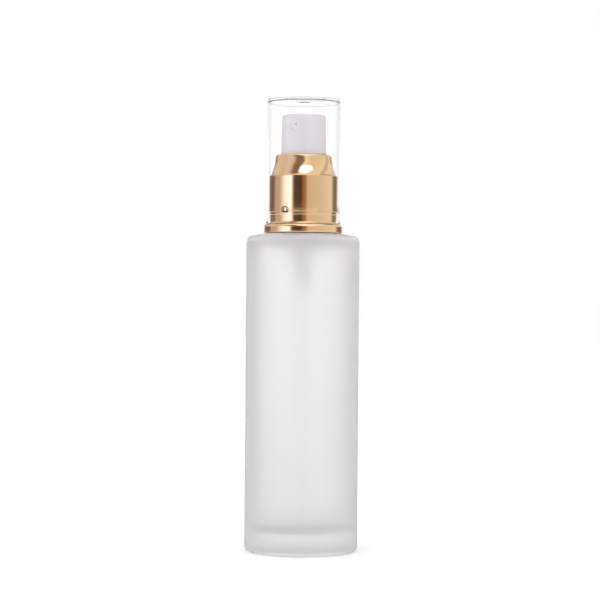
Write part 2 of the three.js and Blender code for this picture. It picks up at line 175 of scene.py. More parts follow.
def mesh_object(name, verts, faces, sharp=32):
    mesh = bpy.data.meshes.new(name)
    mesh.from_pydata(verts, [], faces)
    shade(mesh, sharp)
    obj = bpy.data.objects.new(name, mesh)
    bpy.context.collection.objects.link(obj)
    return obj


def shade(mesh, sharp=32):
    mesh.update()
    mesh.shade_smooth()
    mesh.set_sharp_from_angle(angle=math.radians(sharp))


def rod(name, start, end, r, sides=96):
    """A plain round cutter between two points, in millimetres."""
    start, end = Vector(start) * MM, Vector(end) * MM
    turn = (end - start).to_track_quat("Z", "Y").to_matrix().to_4x4()
    place = Matrix.Translation((start + end) / 2) @ turn
    bm = bmesh.new()
    bmesh.ops.create_cone(
        bm, cap_ends=True, segments=sides, radius1=r * MM, radius2=r * MM,
        depth=(end - start).length, matrix=place,
    )
    mesh = bpy.data.meshes.new(name)
    bm.to_mesh(mesh)
    bm.free()
    obj = bpy.data.objects.new(name, mesh)
    bpy.context.collection.objects.link(obj)
    return obj


def upright_rods(name, count, offset, ring_r, bottom, top, r, sides):
    """Upright cutters evenly spaced round a ring, the first offset by a share of a space."""
    rods = []
    for i in range(count):
        angle = TURN * (i + offset) / count
        x, y = ring_r * math.cos(angle), ring_r * math.sin(angle)
        rods.append(rod(f"{name}_{i}", (x, y, bottom), (x, y, top), r, sides))
    return rods


def carve(obj, *cutters):
    """Cuts the cutters out of obj and removes them."""
    for cutter in cutters:
        modifier = obj.modifiers.new("cut", "BOOLEAN")
        modifier.operation = "DIFFERENCE"
        modifier.solver = "EXACT"
        modifier.object = cutter
    evaluated = obj.evaluated_get(bpy.context.evaluated_depsgraph_get())
    mesh = bpy.data.meshes.new_from_object(evaluated)
    obj.modifiers.clear()
    obj.data = mesh
    shade(mesh)
    for cutter in cutters:
        bpy.data.objects.remove(cutter)


def ridge_height(z, angle, z_at_zero, first_turn, last_turn):
    """How full the thread ridge is at a height and angle, from 0 to 1."""
    fullest = 0
    for whole in range(3):
        turns = angle / TURN + whole
        if not first_turn <= turns <= last_turn:
            continue
        off = abs(z - z_at_zero - PITCH * turns)
        flank = min(1, max(0, (0.85 - off) / 0.4))
        run_out = min(1, (turns - first_turn) / 0.1, (last_turn - turns) / 0.1)
        fullest = max(fullest, flank * flank * (3 - 2 * flank) * run_out)
    return fullest


# ---- Materials ----

# Where nearly all of a noise's values lie.
NOISE_LOW, NOISE_HIGH = 0.3, 0.7


class Shader:
    """A material with one Principled node, and short calls for the nodes that feed it."""

    def __init__(self, name, **sockets):
        self.material = bpy.data.materials.new(name)
        self.material.use_nodes = True
        self.tree = self.material.node_tree
        self.surface = self.tree.nodes["Principled BSDF"]
        self.place = self.add("TexCoord").outputs["Object"]
        for socket, value in sockets.items():
            self.surface.inputs[socket.replace("_", " ")].default_value = value

    def add(self, kind, **settings):
        node = self.tree.nodes.new("ShaderNode" + kind)
        for key, value in settings.items():
            if key in node.inputs:
                node.inputs[key].default_value = value
            else:
                setattr(node, key, value)
        return node

    def link(self, output, node, socket):
        self.tree.links.new(output, node.inputs[socket])

    def noise(self, scale, detail=3.0, stretch=(1, 1, 1)):
        mapping = self.add("Mapping")
        mapping.inputs["Scale"].default_value = [scale * s for s in stretch]
        self.link(self.place, mapping, "Vector")
        noise = self.add("TexNoise", Scale=1.0, Detail=detail)
        self.link(mapping.outputs["Vector"], noise, "Vector")
        return noise.outputs["Fac"]

    def spread(self, value, start, end, lowest, highest):
        """value, from start to end, spread over lowest to highest."""
        node = self.add("MapRange")
        for socket, number in zip(
            ("From Min", "From Max", "To Min", "To Max"), (start, end, lowest, highest)
        ):
            node.inputs[socket].default_value = number
        self.link(value, node, "Value")
        return node.outputs["Result"]

    def height(self, low, high, unevenness):
        """NOISE_LOW at the low height to NOISE_HIGH at the high one, in metres, with a soft
        unevenness."""
        split = self.add("SeparateXYZ")
        self.link(self.place, split, "Vector")
        rise = self.spread(split.outputs["Z"], low, high,
                           NOISE_LOW - unevenness / 2, NOISE_HIGH - unevenness / 2)
        node = self.add("Math", operation="MULTIPLY_ADD")
        self.link(self.noise(35, 3), node, 0)
        node.inputs[1].default_value = unevenness
        self.link(rise, node, 2)
        return node.outputs["Value"]

    def roughness(self, value, lowest, highest):
        spread = self.spread(value, NOISE_LOW, NOISE_HIGH, lowest, highest)
        self.link(spread, self.surface, "Roughness")
        return self

    def colour(self, value, first, second):
        ramp = self.add("ValToRGB")
        ramp.color_ramp.elements[0].position = NOISE_LOW
        ramp.color_ramp.elements[1].position = NOISE_HIGH
        ramp.color_ramp.elements[0].color = (*first, 1)
        ramp.color_ramp.elements[1].color = (*second, 1)
        self.link(value, ramp, "Fac")
        self.link(ramp.outputs["Color"], self.surface, "Base Color")
        return self

    def bump(self, value, height, strength=1.0):
        """Relief of that height in metres."""
        node = self.add("Bump", Strength=strength, Distance=height)
        self.link(value, node, "Height")
        self.link(node.outputs["Normal"], self.surface, "Normal")
        return self


def frosted_glass(name, clearness):
    """Frosted glass, a little greyer towards the foot: painted shade, standing for the light that
    falls off lower down the bottle.
    """
    s = Shader(name, Transmission_Weight=clearness, IOR=1.45)
    # Painted shade: the base colour runs from grey at the foot to near white 112 mm up, for the
    # light falling off lower down.
    s.colour(s.height(0, 0.112, 0.12), (0.858, 0.867, 0.859), (0.957, 0.955, 0.948))
    s.roughness(s.noise(60, 2), 0.5, 0.6)
    s.bump(s.noise(9000, 2), 4e-6)
    return s.material


def clear_glass():
    s = Shader("glass_inside", Transmission_Weight=1.0, IOR=1.5)
    s.surface.inputs["Base Color"].default_value = (0.97, 0.98, 0.972, 1)
    s.roughness(s.noise(40, 2), 0.02, 0.08)
    s.bump(s.noise(70, 2), 2e-5)
    return s.material


def gold_metal():
    s = Shader("gold_anodised_metal", Metallic=1.0)
    s.colour(s.noise(45, 3), (0.79, 0.535, 0.31), (0.83, 0.57, 0.335))
    s.roughness(s.noise(900, 3, (0.25, 0.25, 3)), 0.05, 0.11)
    s.bump(s.noise(700, 2, (0.1, 0.1, 4)), 6e-7)
    return s.material


def white_plastic():
    s = Shader("white_polypropylene", IOR=1.49)
    s.colour(s.noise(120, 3), (0.82, 0.79, 0.815), (0.84, 0.808, 0.832))
    s.roughness(s.noise(900, 3), 0.30, 0.42)
    s.bump(s.noise(5000, 3), 3e-6)
    s.surface.inputs["Subsurface Weight"].default_value = 0.15
    s.surface.inputs["Subsurface Scale"].default_value = 0.002
    return s.material


def natural_plastic():
    s = Shader("natural_polypropylene", IOR=1.49)
    s.colour(s.noise(150, 3), (0.86, 0.86, 0.83), (0.9, 0.9, 0.87))
    s.roughness(s.noise(700, 3), 0.35, 0.5)
    s.bump(s.noise(4000, 3), 4e-6)
    s.surface.inputs["Subsurface Weight"].default_value = 0.3
    s.surface.inputs["Subsurface Scale"].default_value = 0.003
    return s.material


def seal_plastic():
    s = Shader("seal_polyethylene", IOR=1.4, Transmission_Weight=0.92)
    s.colour(s.noise(200, 3), (0.93, 0.94, 0.94), (0.97, 0.98, 0.98))
    s.roughness(s.noise(500, 3), 0.12, 0.25)
    s.bump(s.noise(2500, 3), 3e-6)
    return s.material


def tube_plastic():
    s = Shader("tube_polyethylene", IOR=1.2, Transmission_Weight=0.98)
    s.colour(s.noise(200, 3), (0.97, 0.975, 0.975), (0.985, 0.99, 0.99))
    s.roughness(s.noise(500, 3), 0.05, 0.12)
    s.bump(s.noise(600, 3, (1, 1, 0.1)), 2e-6)
    return s.material


def gasket_foam():
    s = Shader("gasket_foam", IOR=1.45)
    s.colour(s.noise(1500, 4), (0.72, 0.70, 0.66), (0.88, 0.87, 0.83))
    s.roughness(s.noise(2500, 3), 0.7, 0.9)
    s.bump(s.noise(2600, 4), 6e-5)
    return s.material


def steel():
    s = Shader("stainless_steel", Metallic=1.0)
    s.colour(s.noise(300, 3), (0.58, 0.585, 0.59), (0.68, 0.68, 0.69))
    s.roughness(s.noise(3000, 3), 0.14, 0.3)
    s.bump(s.noise(6000, 2), 1e-6)
    return s.material


def clear_plastic(name, depth=0.0):
    """Clear plastic, darker the more of it the light goes through, with a darker tint for a depth
    above 0: painted shade that stands for the light lost at an edge."""
    s = Shader(name, Transmission_Weight=1.0, IOR=1.2)
    level = 0.998 - depth
    s.surface.inputs["Base Color"].default_value = (level, level, level, 1)
    s.roughness(s.noise(80, 2), 0.0, 0.02)
    s.bump(s.noise(60, 1, (1, 1, 0.4)), 1e-6)
    absorbing = s.add("VolumeAbsorption", Density=9.0, Color=(0.2, 0.21, 0.2, 1))
    s.link(absorbing.outputs["Volume"], s.tree.nodes["Material Output"], "Volume")
    return s.material


def paint(obj, *materials, chooser=None):
    """Gives obj its materials; chooser(face) says which one a face takes."""
    for material in materials:
        obj.data.materials.append(material)
    if chooser:
        for face in obj.data.polygons:
            face.material_index = chooser(face)
    return obj


# ---- The bottle ----


def glass_bottle(frosted, clear, milky, shoulder):
    inner_r = BODY_R - 2.8
    floor, ceiling = 7.6, SHOULDER - 3.2
    thread_low, thread_high = THREAD_START - 1.2, NECK_TOP - 0.7

    def relief(r, z, angle):
        """The thread, on the straight part of the neck only."""
        on_neck = abs(r - NECK_R) < ON_WALL
        if not on_neck or not thread_low - ON_WALL < z < thread_high + ON_WALL:
            return 0
        return THREAD_DEPTH * ridge_height(z, angle, THREAD_START, 0, 1.5)

    outline = [
        (0, 0.9), (8, 0.7, 30), (14.5, 0.2, 3), (15.2, 0, 0.8),
        (BODY_R, 0, 1.8),
        (BODY_R, SHOULDER - 1, 2.4),
        (FLANGE_R, SHOULDER, 3),
        (NECK_R, SHOULDER + 0.1, 1.2),
        (NECK_R, 115.4, 0.4), (9.6, 115.6, 0.3), (9.6, 116.4, 0.3), (NECK_R, 116.7, 0.4),
        *stack(NECK_R, thread_low, thread_high, 0.12),
        (NECK_R, NECK_TOP, 0.45),
        (NECK_BORE_R, NECK_TOP, 0.4),
        (NECK_BORE_R, ceiling + 0.8, 2.2),
        (inner_r, ceiling - 0.2, 2.4),
        (inner_r, floor, 3.6),
        (0, floor + 0.1),
    ]
    obj = lathe("frosted_bottle", outline, 288, relief)

    outer_wall, inner_wall, under_collar, shoulder_edge = range(4)

    def finish(face):
        c = face.center / MM
        r = math.hypot(c.x, c.y)
        if c.z > SHOULDER - 0.2 and NECK_R - 0.5 < r < FLANGE_R - 0.1:
            return under_collar
        if c.z > SHOULDER - 2.9 and r > NECK_R + 1:
            return shoulder_edge
        in_body = floor - 0.5 < c.z < ceiling + 1 and r < inner_r + 0.05
        in_neck = r < NECK_BORE_R + 0.1 and c.z > 5
        return inner_wall if in_body or in_neck else outer_wall

    paint(obj, frosted, clear, milky, shoulder, chooser=finish)
    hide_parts("glass_bottle")
    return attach(obj, "bottle")


# ---- Closure and collar ----


def closure(plastic):
    top = 130.2
    bottom = COLLAR_LOW + 0.3
    flange = FLANGE_R - 0.63

    def relief(r, z, angle):
        if abs(r - CLOSURE_BORE_R) > ON_WALL:
            return 0
        return -THREAD_DEPTH * ridge_height(z, angle, THREAD_START - PITCH / 2, 0.35, 1.6)

    outline = [
        (CLOSURE_BORE_R + 0.3, bottom, 0.2),
        (flange, bottom, 0.3), (flange, FLANGE_EDGE_Z, 0.2),
        (flange - FLANGE_EDGE_R, 114.8, 0.4),
        (11.3, 114.8, 0.3), (11.3, top + 1.4, 0.4), (9.8, top + 1.4, 0.4), (9.6, top, 0.3),
        (6.1, top, 0.2), (6.1, 128.8, 0.2), (CLOSURE_BORE_R, 128.8, 0.3),
        *stack(CLOSURE_BORE_R, 125.5, 117, 0.12),
        (CLOSURE_BORE_R, bottom + 0.4),
    ]
    obj = paint(lathe("threaded_closure", outline, 240, relief), plastic)
    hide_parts("closure_cap")
    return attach(obj, "closure")


def collar(gold):
    skin = 0.43
    step_r = 12.1
    outline = [
        (FLANGE_R - skin, COLLAR_LOW, 0.1),
        (FLANGE_R, COLLAR_LOW, 0.2),
        *arc((FLANGE_R - FLANGE_EDGE_R, FLANGE_EDGE_Z), FLANGE_EDGE_R, 0, 90, 14),
        *arc((12.77, 116.33), 0.9, 270, 180, 12),
        (11.87, 119.7, 0.06), (step_r, 119.78, 0.08),
        (step_r, 132.4, 0.2), (11.5, 132.75, 0.2), (11.04, 134, 0.2),
        (10.35, 136.4, 12), (9.95, COLLAR_TOP, 1.5),
        (8.3, COLLAR_TOP, 0.2), (8.3, COLLAR_TOP - skin, 0.1),
        (9.55, COLLAR_TOP - skin - 0.1, 1.2), (9.92, 136.2, 3), (10.65, 133.8, 0.6),
        (11.0, 132.4, 0.4), (11.45, 131.9, 0.3),
        (11.45, 115, 0.3), (FLANGE_R - skin, 115, 0.67),
    ]
    obj = paint(lathe("gold_collar", outline, 320), gold)
    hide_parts("collar_shell")
    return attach(obj, "closure")


# ---- Press-down head ----


def head_r(z):
    return HEAD_LOW_R + (HEAD_TOP_R - HEAD_LOW_R) * (z - HEAD_LOW) / (HEAD_TOP - HEAD_LOW)


def turned_to_front(point):
    return Matrix.Rotation(NOZZLE_TURN, 3, "Z") @ Vector(point)


def press_head(plastic):
    ceiling = HEAD_TOP - 6.75
    bore = STEM_R + 0.08
    wall = [(head_r(z), z) for _, z in stack(0, HEAD_LOW + 1, HEAD_TOP - 1.2, 0.3)]
    outline = [
        (0, NOZZLE_Z + 0.3), (1.1, NOZZLE_Z + 0.3, 0.2), (1.1, 150.1), (bore, 150.1),
        (bore, 139.9, 0.2), (2.3, 139.6, 0.2), (3.1, 139.6, 0.2), (3.1, ceiling, 0.5),
        (head_r(ceiling) - 0.9, ceiling, 0.6),
        (HEAD_LOW_R - 0.9, HEAD_LOW, 0.15),
        (HEAD_LOW_R, HEAD_LOW, 0.3),
        *wall,
        (HEAD_TOP_R, HEAD_TOP, 0.75),
        (0, HEAD_TOP),
    ]
    obj = lathe("press_head", outline, 288)
    back = turned_to_front((0, 2.3 - head_r(NOZZLE_Z), NOZZLE_Z))
    centre = (0, 0, NOZZLE_Z)
    outside = turned_to_front((0, -10, NOZZLE_Z))
    carve(
        obj,
        rod("nozzle_socket", back, outside, 2.33),
        rod("outlet_channel", centre, outside, 0.7, 48),
    )
    paint(obj, plastic)
    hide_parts("actuator_head")
    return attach(obj, "actuator")


def nozzle(plastic):
    """The outlet disc, turned about the way it points and bent to the curve of the head."""
    face = head_r(NOZZLE_Z) - 0.02
    outline = [
        (0.2, -2.15, 0.1), (2.31, -2.15, 0.15), (2.31, 0, 0.08),
        (0.8, 0, 0.1), (0.7, -0.06, 0.05), (0.4, -0.06, 0.05), (0.2, -0.2, 0.1),
    ]
    obj = lathe("nozzle", outline, 128)
    for vertex in obj.data.vertices:
        across, up, depth = vertex.co / MM
        bend = face - math.sqrt(face * face - across * across)
        share = 1 if depth > -1 else 0
        out = face + depth - bend * share
        vertex.co = turned_to_front((across, -out, NOZZLE_Z + up)) * MM
    shade(obj.data)
    paint(obj, plastic)
    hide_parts("nozzle_insert")
    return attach(obj, "actuator")


# ---- Overcap ----


def overcap(plastic, rim, nub_side, lid_edge):
    inner_r = CAP_R - CAP_WALL
    ceiling = CAP_TOP - 0.87
    nub_z, nub_r = 120.4, 1.25
    nub_reach = nub_r + 0.1
    nub_turns = [math.radians(-31.6 + 120 * i) for i in range(3)]
    # The outer wall from this band up to the ceiling gets painted shade, a thin dark band at the
    # lid's edge.
    band = ceiling - 0.4

    def relief(r, z, angle):
        """The nubs: round dimples pressed into the outside that stand out a little inside."""
        if abs(z - nub_z) > nub_r:
            return 0
        if abs(r - inner_r) < ON_WALL:
            depth = 0.15
        elif abs(r - CAP_R) < ON_WALL:
            depth = 0.36
        else:
            return 0
        rise = 0
        for turn in nub_turns:
            around = (angle - (turn - math.pi / 2) + math.pi) % TURN - math.pi
            off = math.hypot(around * r, z - nub_z) / nub_r
            side = min(1, max(0, (1 - off) / 0.45))
            rise = max(rise, side * side * (3 - 2 * side))
        return -depth * rise

    outline = [
        (0, ceiling - 0.35), (2.0, ceiling - 0.35, 0.5), (2.6, ceiling, 0.5),
        (inner_r, ceiling, 0.35),
        *stack(inner_r, nub_z + nub_reach, nub_z - nub_reach, 0.08),
        (inner_r, CAP_LOW + 3, 1),
        (CAP_RIM_R - CAP_WALL, CAP_LOW, 0.1),
        (CAP_RIM_R, CAP_LOW, 0.25),
        (CAP_RIM_R, CAP_LOW + 1, 1),
        (CAP_R, CAP_LOW + 3.2, 1),
        *stack(CAP_R, nub_z - nub_reach, nub_z + nub_reach, 0.1),
        (CAP_R, band), (CAP_R, ceiling), (CAP_R, CAP_TOP, 0.42),
        (0, CAP_TOP),
    ]
    # at_rim, at_nub and at_lid take darker plastic: painted shade for the light lost at those
    # edges.
    plain, at_rim, at_nub, at_lid = range(4)

    def tint(face):
        """The faces with painted shade: darker bands on the lid's edge, the rim and rings round
        the nubs, for the light lost at those edges.
        """
        c = face.center / MM
        r = math.hypot(c.x, c.y)
        if r > CAP_R - ON_WALL and band < c.z < ceiling:
            return at_lid
        if c.z < CAP_LOW + 0.3:
            return at_rim
        if abs(c.z - nub_z) < nub_r and r > inner_r + 0.1:
            turn = min(abs((math.atan2(c.x, -c.y) - t + math.pi) % TURN - math.pi)
                       for t in nub_turns)
            return at_nub if 0.7 < math.hypot(turn * r, c.z - nub_z) < 1.2 else plain
        return plain

    obj = lathe("clear_overcap", outline, 720, relief)
    paint(obj, plastic, rim, nub_side, lid_edge, chooser=tint)
    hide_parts("overcap")
    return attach(obj, "cap")


# ---- Pump ----


def pump_piece(name, node, body, material, outline, sides=96):
    obj = paint(lathe(name, outline, sides), material)
    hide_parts(node)
    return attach(obj, body)


def spring(material):
    """A round wire wound up the return spring's space, with closed coils at both ends."""
    turns, wire, sides, per_turn = 5.5, 0.3, 12, 40
    foot, head = low("return_spring"), high("return_spring")
    coil = radius("return_spring") - wire
    bottom, top = foot + wire, head - wire
    closed = 0.75
    rise = closed * 2.1 * wire
    path = []
    for i in range(round(turns * per_turn) + 1):
        t = i / per_turn
        open_share = min(max((t - closed) / (turns - 2 * closed), 0), 1)
        ends = min(t, closed) / closed + max(t - turns + closed, 0) / closed
        z = bottom + rise * ends + open_share * (top - bottom - 2 * rise)
        path.append(Vector((coil * math.cos(TURN * t), coil * math.sin(TURN * t), z)))
    verts, faces = [], []
    for i, point in enumerate(path):
        along = (path[min(i + 1, len(path) - 1)] - path[max(i - 1, 0)]).normalized()
        out = Vector((point.x, point.y, 0)).normalized()
        up = along.cross(out).normalized()
        for k in range(sides):
            a = TURN * k / sides
            verts.append((point + (out * math.cos(a) + up * math.sin(a)) * wire) * MM)
    for i in range(len(path) - 1):
        for k in range(sides):
            n = (k + 1) % sides
            a, b = i * sides + k, i * sides + n
            faces.append((a, b, b + sides, a + sides))
    faces.append(tuple(range(sides))[::-1])
    faces.append(tuple(range(len(verts) - sides, len(verts))))
    obj = paint(mesh_object("spring", verts, faces), material)
    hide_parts("return_spring")
    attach(obj, "pump_core")
    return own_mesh(obj)


def valve_ball(name, node, body, material):
    r = radius(node)
    centre = (low(node) + high(node)) / 2
    half = [(r * math.cos(a), centre + r * math.sin(a))
            for a in (math.radians(-90 + 7.5 * i) for i in range(1, 24))]
    outline = [(0, centre - r), *half, (0, centre + r)]
    return pump_piece(name, node, body, material, outline, 64)


def pump(natural, white, seal, tubing, foam, metal):
    cup = high("pump_housing")
    floor = 104.5
    socket = low("pump_housing")
    flange = 127.3
    pump_piece("pump_barrel", "pump_housing", "pump_core", natural, [
        (1.6, socket, 0.1), (2.7, socket, 0.4), (2.7, 98.8, 0.6), (3.6, 100.2, 0.6),
        (3.6, 102.5, 0.8), (5, floor, 0.8), (5, 124.6, 0.5), (5.5, 125.2, 0.3),
        (5.5, flange, 0.3), (9.35, flange, 0.25), (9.35, flange + 1.2, 0.25),
        (5.6, flange + 1.2, 0.2), (5.6, cup, 0.2), (4.6, cup, 0.2), (4.6, 125.6, 0.15),
        (3.8, 125.6, 0.2), (3.8, floor, 0.2), (2.3, floor, 0.2), (2.3, 101.6, 0.2),
        (1, 100.2, 0.1), (1, 99.4, 0.1), (1.6, 99.4, 0.1),
    ])
    washer_low, washer_high = low("neck_gasket"), high("neck_gasket")
    pump_piece("neck_washer", "neck_gasket", "pump_core", foam, [
        (5.8, washer_low, 0.1), (9.35, washer_low, 0.12),
        (9.35, washer_high, 0.12), (5.8, washer_high, 0.1),
    ])
    guide = low("stem_guide")
    pump_piece("guide", "stem_guide", "pump_core", white, [
        (2.05, guide, 0.15), (4.5, guide, 0.2), (4.5, cup + 0.15, 0.1), (5.6, cup + 0.15, 0.15),
        (5.6, cup + 0.9, 0.3), (3, cup + 1.1, 0.5), (2.8, cup + 2.4, 0.2), (2.05, cup + 2.4, 0.15),
    ])
    wiper = low("stem_wiper")
    pump_piece("wiper", "stem_wiper", "pump_core", seal, [
        (1.98, wiper, 0.05), (4.4, wiper, 0.1), (4.4, wiper + 0.7, 0.1),
        (2.3, wiper + 0.7, 0.1), (1.98, wiper + 0.35, 0.05),
    ])
    tube_low, tube_high = low("dip_tube"), high("dip_tube")
    straw = lathe("straw", [
        (1, tube_low, 0.1), (1.5, tube_low, 0.1), (1.5, tube_high, 0.1), (1, tube_high, 0.1),
    ], 96)
    notch_z = tube_low - 0.4
    carve(straw, rod("notch", (-3, 0, notch_z), (3, 0, notch_z), 1, 48))
    paint(straw, tubing)
    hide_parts("dip_tube")
    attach(straw, "pump_core")

    retainer_low, retainer_high = low("ball_retainer"), high("ball_retainer")
    disc = lathe("retainer", [
        (0, retainer_low), (3.65, retainer_low, 0.1), (3.65, retainer_high, 0.1),
        (0, retainer_high),
    ], 96)
    carve(disc, *upright_rods("port", 3, 0, 1.25, retainer_low - 1, retainer_high + 1, 0.65, 40))
    paint(disc, natural)
    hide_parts("ball_retainer")
    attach(disc, "pump_core")

    foot, tip = low("upper_stem"), high("upper_stem")
    pump_piece("stem_tube", "upper_stem", "stem", white, [
        (1.05, foot, 0.1), (STEM_R, foot, 0.15), (STEM_R, 121.9, 0.1), (2.6, 121.9, 0.15),
        (2.6, 125.55, 0.35), (STEM_R, 125.55, 0.1), (STEM_R, tip, 0.25), (1.4, tip, 0.1),
        (1.4, tip - 2.5, 0.15), (0.75, tip - 3.2, 0.1), (0.75, tip - 4, 0.1),
        (1.05, tip - 4.4, 0.1),
    ])
    nose = low("stem_plug")
    plug = lathe("plug", [
        (0, nose), (1.6, nose, 0.2), (2.1, nose + 0.6, 0.3), (2.1, 116.15, 0.15),
        (3.2, 116.15, 0.1), (3.2, 116.55, 0.12), (2.95, 116.8, 0.1), (1.3, 116.8, 0.2),
        (0.97, 117.8, 0.2), (0.97, 122.8, 0.2), (0, 122.8),
    ], 96)
    carve(plug, *upright_rods("flute", 4, 0.5, 0.98, 117.7, 124, 0.42, 32))
    paint(plug, white)
    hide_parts("stem_plug")
    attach(plug, "stem")

    ring_low, ring_high = low("piston"), high("piston")
    pump_piece("piston_ring", "piston", "piston_ring", seal, [
        (2.32, ring_low, 0.1), (2.75, ring_low, 0.1), (2.75, ring_low + 0.5, 0.15),
        (3.35, ring_low, 0.1), (3.7, ring_low + 0.25, 0.1), (2.95, ring_low + 1.4, 0.6),
        (2.95, ring_high - 1.4, 0.6), (3.7, ring_high - 0.25, 0.1), (3.35, ring_high, 0.1),
        (2.75, ring_high - 0.8, 0.15), (2.75, ring_high, 0.1), (2.02, ring_high, 0.1),
        (2.02, ring_low + 0.4, 0.1),
    ])
    spring(metal)
    valve_ball("inlet_valve_ball", "inlet_ball", "inlet_valve", metal)
    valve_ball("outlet_valve_ball", "outlet_ball", "outlet_valve", metal)


# ---- Studio ----

# The camera, in metres from the bottle's axis, with its lens and sensor in millimetres.
CAMERA_DISTANCE = 0.713
CAMERA_HEIGHT = 0.0916
LENS = 120.8
SENSOR = 36
ASIDE = -0.0009
TILT = math.radians(0.23)
ROLL = math.radians(0.45)


def camera():
    data = bpy.data.cameras.new("camera")
    data.lens = LENS
    data.sensor_width = SENSOR
    data.clip_start = 0.01
    obj = bpy.data.objects.new("camera", data)
    bpy.context.collection.objects.link(obj)
    turn = Matrix.Rotation(math.radians(90) - TILT, 4, "X") @ Matrix.Rotation(ROLL, 4, "Z")
    place = Matrix.Translation((ASIDE, -CAMERA_DISTANCE, CAMERA_HEIGHT))
    obj.matrix_world = place @ turn
    bpy.context.scene.camera = obj


# The studio round the bottle, as its polished surfaces reflect it: colour by bearing in degrees
# from the camera, right of it being positive. A softbox stands at the left, a fill card at the
# right, and between the two the dark end of the room with the camera.
STUDIO = [
    (-180, (1.1, 1.1, 1.1)), (-156, (1.1, 1.1, 1.1)), (-143, (0.25, 0.19, 0.16)),
    (-114, (0.24, 0.18, 0.15)), (-107, (0.60, 0.56, 0.54)), (-88, (0.65, 0.6, 0.55)),
    (-79, (0.86, 0.82, 0.8)), (-70, (1.15, 1.27, 1.5)), (-60, (1.4, 1.65, 2.2)),
    (-42, (1.45, 1.8, 2.4)), (-38, (1.0, 1.1, 1.25)), (-34, (0.35, 0.28, 0.25)),
    (-29, (0.10, 0.08, 0.07)), (-12, (0.10, 0.065, 0.06)), (-8, (0.10, 0.04, 0.02)),
    (1, (0.38, 0.22, 0.15)), (8, (0.47, 0.27, 0.17)), (13, (0.80, 0.70, 0.68)),
    (60, (0.83, 0.84, 0.78)), (90, (0.96, 0.93, 0.9)), (106, (0.98, 0.99, 1.02)),
    (115, (0.48, 0.45, 0.42)), (124, (0.22, 0.18, 0.12)), (142, (0.32, 0.27, 0.2)),
    (156, (1.0, 1.0, 1.0)), (180, (1.1, 1.1, 1.1)),
]
# The same higher up, above the left softbox.
OVERHEAD = [
    (-180, (0.3, 0.3, 0.3)), (-165, (0.4, 0.4, 0.4)), (-150, (0.8, 0.8, 0.8)),
    (-118, (0.9, 0.88, 0.84)), (-90, (0.8, 0.74, 0.7)), (-62, (0.88, 0.86, 1.05)),
    (-46, (0.75, 0.68, 0.78)), (-38, (0.4, 0.33, 0.28)), (-28, (0.28, 0.22, 0.18)),
    (-10, (0.28, 0.22, 0.18)), (-4, (0.6, 0.6, 0.6)), (0, (1.1, 1.15, 1.15)),
    (8, (1.1, 1.15, 1.15)), (14, (0.95, 0.94, 0.94)), (36, (0.9, 0.87, 0.82)),
    (60, (0.98, 0.97, 0.9)), (82, (1.05, 1.05, 0.95)), (90, (0.7, 0.68, 0.6)),
    (97, (0.7, 0.68, 0.6)), (104, (1.1, 1.1, 1.1)), (124, (0.9, 0.9, 0.9)),
    (150, (0.9, 0.9, 0.9)), (165, (0.4, 0.4, 0.4)), (180, (0.3, 0.3, 0.3)),
]
# The second softbox, an ellipse over the front: bearing and rise of its middle, and half of its
# width and height, in degrees and as the sine of elevation.
SOFTBOX_BEARING, SOFTBOX_RISE = 9, 0.62
SOFTBOX_WIDTH, SOFTBOX_HEIGHT = 30, 0.13
SOFTBOX_LEAN = 0.25
SOFTBOX_EDGE = 1.12, 0.92
SOFTBOX = (1.35, 1.9, 2.95)
# The sines of elevation between which the walls give way to what is overhead, and that to the
# ceiling, and how far the overhead colours are turned on with height, as a share of a turn.
OVERHEAD_RISE = 0.14, 0.22
CEILING_RISE = 0.8, 0.88
OVERHEAD_LEAN, OVERHEAD_START = 0.2, -0.092
CEILING = 1.4
# The soft light on matt surfaces, from the front and from the sides, what is seen through the
# glass and plastic low down and high up, and how much of both is left at the right.
SOFT_FRONT = (1.36, 1.31, 1.35)
SOFT_SIDE = (0.94, 0.92, 0.94)
SEEN_THROUGH, SEEN_ABOVE = 1.22, 1.5
RIGHT_SHARE = 0.88
# Every studio colour is divided by this for the colour ramps, and the background's strength
# brings it back.
STUDIO_PEAK = 3


class WorldNodes:
    """Short calls for the nodes of the world."""

    def __init__(self, tree):
        self.tree = tree

    def add(self, kind):
        return self.tree.nodes.new("ShaderNode" + kind)

    def feed(self, socket, value):
        if isinstance(value, (int, float, tuple)):
            socket.default_value = value
        else:
            self.tree.links.new(value, socket)

    def math(self, operation, *values):
        node = self.add("Math")
        node.operation = operation
        for socket, value in zip(node.inputs, values):
            self.feed(socket, value)
        return node.outputs[0]

    def mix(self, share, first, second):
        node = self.add("Mix")
        node.data_type = "RGBA"
        for name, value in (("Factor", share), ("A", first), ("B", second)):
            self.feed(next(s for s in node.inputs if s.name == name and s.enabled), value)
        return next(s for s in node.outputs if s.enabled)

    def table(self, share, rows):
        """Colour by bearing, share being 0 at -180 degrees and 1 at 180."""
        ramp = self.add("ValToRGB")
        self.tree.links.new(share, ramp.inputs["Fac"])
        stops = ramp.color_ramp.elements
        stops.remove(stops[1])
        for i, (degrees, colour) in enumerate(rows):
            place = (degrees + 180) / 360
            stop = stops[0] if i == 0 else stops.new(place)
            stop.position = place
            stop.color = tinted(colour)
        return ramp.outputs["Color"]

    def dimmed(self, colour, share):
        node = self.add("VectorMath")
        node.operation = "SCALE"
        self.tree.links.new(colour, node.inputs[0])
        node.inputs["Scale"].default_value = share
        return node.outputs[0]

    def smooth(self, value, start, end):
        node = self.add("MapRange")
        node.interpolation_type = "SMOOTHSTEP"
        node.inputs["From Min"].default_value = start
        node.inputs["From Max"].default_value = end
        self.feed(node.inputs["Value"], value)
        return node.outputs["Result"]


def tinted(colour):
    return tuple(c / STUDIO_PEAK for c in colour) + (1,)


def grey(level):
    return tinted((level, level, level))


